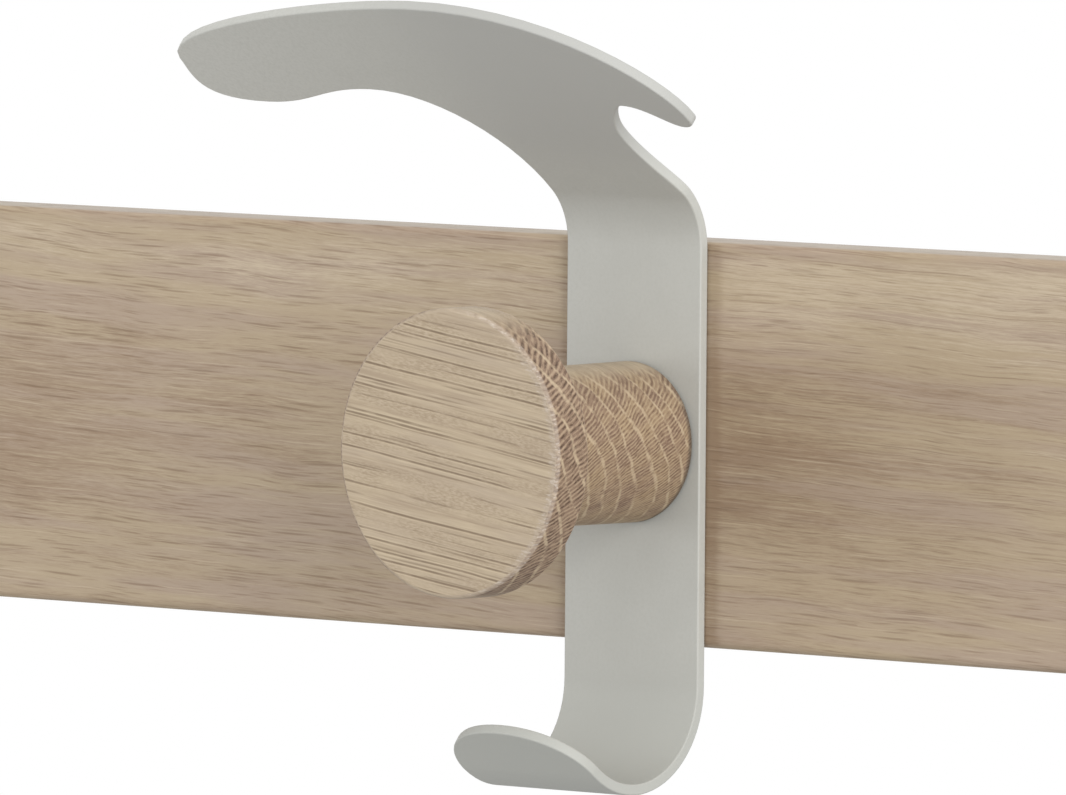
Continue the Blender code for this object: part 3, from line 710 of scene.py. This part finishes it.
# %% [markdown]
# ## Zinc and brass
# The screws, washer and keyhole plates are zinc-plated steel, bright but not polished, with fine
# marks from tumbling against each other. The insert hidden in the knob is plain brass. One
# function makes both metals, because they differ only in colour and in how smooth they are. The
# marks change the roughness as well as the relief, since a scratch on metal shows by its duller
# shine. The insert and the pins lie inside the wood, so they only take a material, and no skin.

# %% Finish of the fixings
ZINC_ROUGHNESS, BRASS_ROUGHNESS = 0.28, 0.26
ZINC_DARK, ZINC_PALE = colour(176, 179, 184), colour(202, 204, 206)
BRASS_DARK, BRASS_PALE = colour(196, 164, 98), colour(220, 190, 124)
MARK_DIRECTIONS = ((6, 0, 1), (0, 6, 0), (0.4, 0, 0.6))


def bright_metal(name, dark, pale, roughness):
    finish = Finish(name)
    spot = place(finish)
    cloud = noise(enlarged(spot, 0.7), 3)
    marks = noise(vector(*(along(spot, direction) for direction in MARK_DIRECTIONS)), 2)
    body = blend(step(cloud, 0.3, 0.7), dark, pale)
    normal = bump(marks, strength=0.15, depth=0.03)
    roughness = roughness + marks * 0.16
    finish.surface(Base_Color=body, Roughness=roughness, Normal=normal, Metallic=1.0)
    return finish.material


zinc = bright_metal("zinc_plate", ZINC_DARK, ZINC_PALE, ZINC_ROUGHNESS)
brass = bright_metal("machined_brass", BRASS_DARK, BRASS_PALE, BRASS_ROUGHNESS)
plate_screws = [name for name in sorted(nodes) if name.startswith("plate_screw")]
keyhole_plates = ("keyhole_plate_left", "keyhole_plate_right")
for name in ("clamp_screw", "clamp_washer", *keyhole_plates, *plate_screws):
    skin(name, zinc)
for name in ("locating_pin_upper", "locating_pin_lower"):
    nodes[name].material_slots[0].material = zinc
nodes["knob_insert"].material_slots[0].material = brass

# %% [markdown]
# ## Floor and background
# The picture's background is plain white. A white backdrop behind the object would do, but would
# also throw its light on it. Here the world is white only where the camera, a reflection or glass
# looks at it, and lights the object at its own, lower strength. A pale floor lies well below the
# hook and takes its shadow. The camera sees it a little paler than it shines on the object.

# %% World and floor
WORLD_LIGHT = 0.83
WORLD_SEEN = 1.0
FLOOR_Z = -0.60
FLOOR_SIZE = 8.0
FLOOR_SEEN = colour(232, 232, 230)
FLOOR_LIT = colour(190, 190, 190)


def set_world():
    world = bpy.data.worlds.new("studio")
    world.use_nodes = True
    bpy.context.scene.world = world
    sky = Wiring(world.node_tree)
    background = sky.tree.nodes["Background"]
    by_camera = sky.node("ShaderNodeLightPath", output="Is Camera Ray")
    by_reflection = by_camera.beside("Is Glossy Ray")
    through_glass = by_camera.beside("Is Transmission Ray")
    seen = larger(larger(by_camera, by_reflection), through_glass)
    sockets = {"Value": seen, "To Min": WORLD_LIGHT, "To Max": WORLD_SEEN}
    sky.feed(background.inputs["Color"], (1, 1, 1, 1))
    sky.feed(background.inputs["Strength"], sky.node("ShaderNodeMapRange", sockets=sockets))


def make_floor():
    form = bmesh.new()
    bmesh.ops.create_grid(form, x_segments=1, y_segments=1, size=FLOOR_SIZE / 2)
    bmesh.ops.translate(form, vec=(0, 0, FLOOR_Z), verts=form.verts)
    mesh = bpy.data.meshes.new("floor")
    form.to_mesh(mesh)
    form.free()
    finish = Finish("pale_floor")
    seen = finish.node("ShaderNodeLightPath", output="Is Camera Ray")
    finish.surface(Base_Color=blend(seen, FLOOR_LIT, FLOOR_SEEN), Roughness=0.9)
    mesh.materials.append(finish.material)
    floor = bpy.data.objects.new("floor", mesh)
    bpy.context.scene.collection.objects.link(floor)


set_world()
make_floor()

# %% [markdown]
# ## Soft studio light
# The picture has no hard shadow. Its brightest faces look up and to the right, the front is a
# little darker, and the folded shoulder, which leans forward over the viewer, is darkest. A studio
# does this with white walls and a few wide, soft lamps. Here the world gives most of the light,
# evenly from all round. A strong, wide lamp on the right and a weaker, wider one above give the
# faces their order, and a small, weak one on the left lifts what faces that way.

# %% Lamps
LAMPS = (  # name, direction from the knob, distance and size in metres, power in watts
    ("above", (0.28, -0.33, 0.90), 3.0, 2.0, 14),
    ("right", (0.88, -0.40, 0.24), 3.0, 1.6, 55),
    ("left", (-0.80, -0.55, 0.0), 1.5, 0.5, 3.5),
)


def add_lamp(name, direction, distance, size, power):
    """A square lamp that lies in a direction from the knob and faces it."""
    light = bpy.data.lights.new(name, "AREA")
    light.shape = "SQUARE"
    light.size = size
    light.energy = power
    lamp = bpy.data.objects.new(name, light)
    direction = Vector(direction).normalized()
    lamp.location = KNOB_MIDDLE + direction * distance
    lamp.rotation_euler = direction.to_track_quat("Z", "Y").to_euler()
    lamp.visible_camera = False
    bpy.context.scene.collection.objects.link(lamp)
    print(f"lamp {name}: {power} W at", [round(value, 2) for value in lamp.location])


for lamp in LAMPS:
    add_lamp(*lamp)

# %% [markdown]
# ## The camera
# The rail's edges in the picture stay almost parallel, so the lens was long and stood far away,
# about 41 degrees round to the right and slightly above the hook. A camera could be aimed with a
# Track To constraint, but that leaves no place for the very small roll, so its three axes are
# worked out from the angles.

# %% Camera
VIEW_AZIMUTH = math.radians(40.92)
VIEW_ELEVATION = math.radians(3.50)
VIEW_ROLL = math.radians(0.43)
VIEW_DISTANCE = 3.786
VIEW_TARGET = Vector((-0.0316, -0.0150, -0.0118))
SENSOR_WIDTH = 36.0
LENS = 573.9


def add_camera():
    back = Vector((math.sin(VIEW_AZIMUTH) * math.cos(VIEW_ELEVATION),
                   -math.cos(VIEW_AZIMUTH) * math.cos(VIEW_ELEVATION),
                   math.sin(VIEW_ELEVATION)))
    level = Vector((math.cos(VIEW_AZIMUTH), math.sin(VIEW_AZIMUTH), 0))
    upward = back.cross(level)
    right = math.cos(VIEW_ROLL) * level + math.sin(VIEW_ROLL) * upward
    up = math.cos(VIEW_ROLL) * upward - math.sin(VIEW_ROLL) * level
    data = bpy.data.cameras.new("camera")
    data.sensor_width = SENSOR_WIDTH
    data.lens = LENS
    camera = bpy.data.objects.new("camera", data)
    turn = Matrix((right, up, back)).transposed().to_4x4()
    camera.matrix_world = Matrix.Translation(VIEW_TARGET + back * VIEW_DISTANCE) @ turn
    bpy.context.scene.collection.objects.link(camera)
    bpy.context.scene.camera = camera
    print("camera at", [round(value, 3) for value in camera.location])


add_camera()
bpy.context.scene.view_settings.view_transform = "Standard"
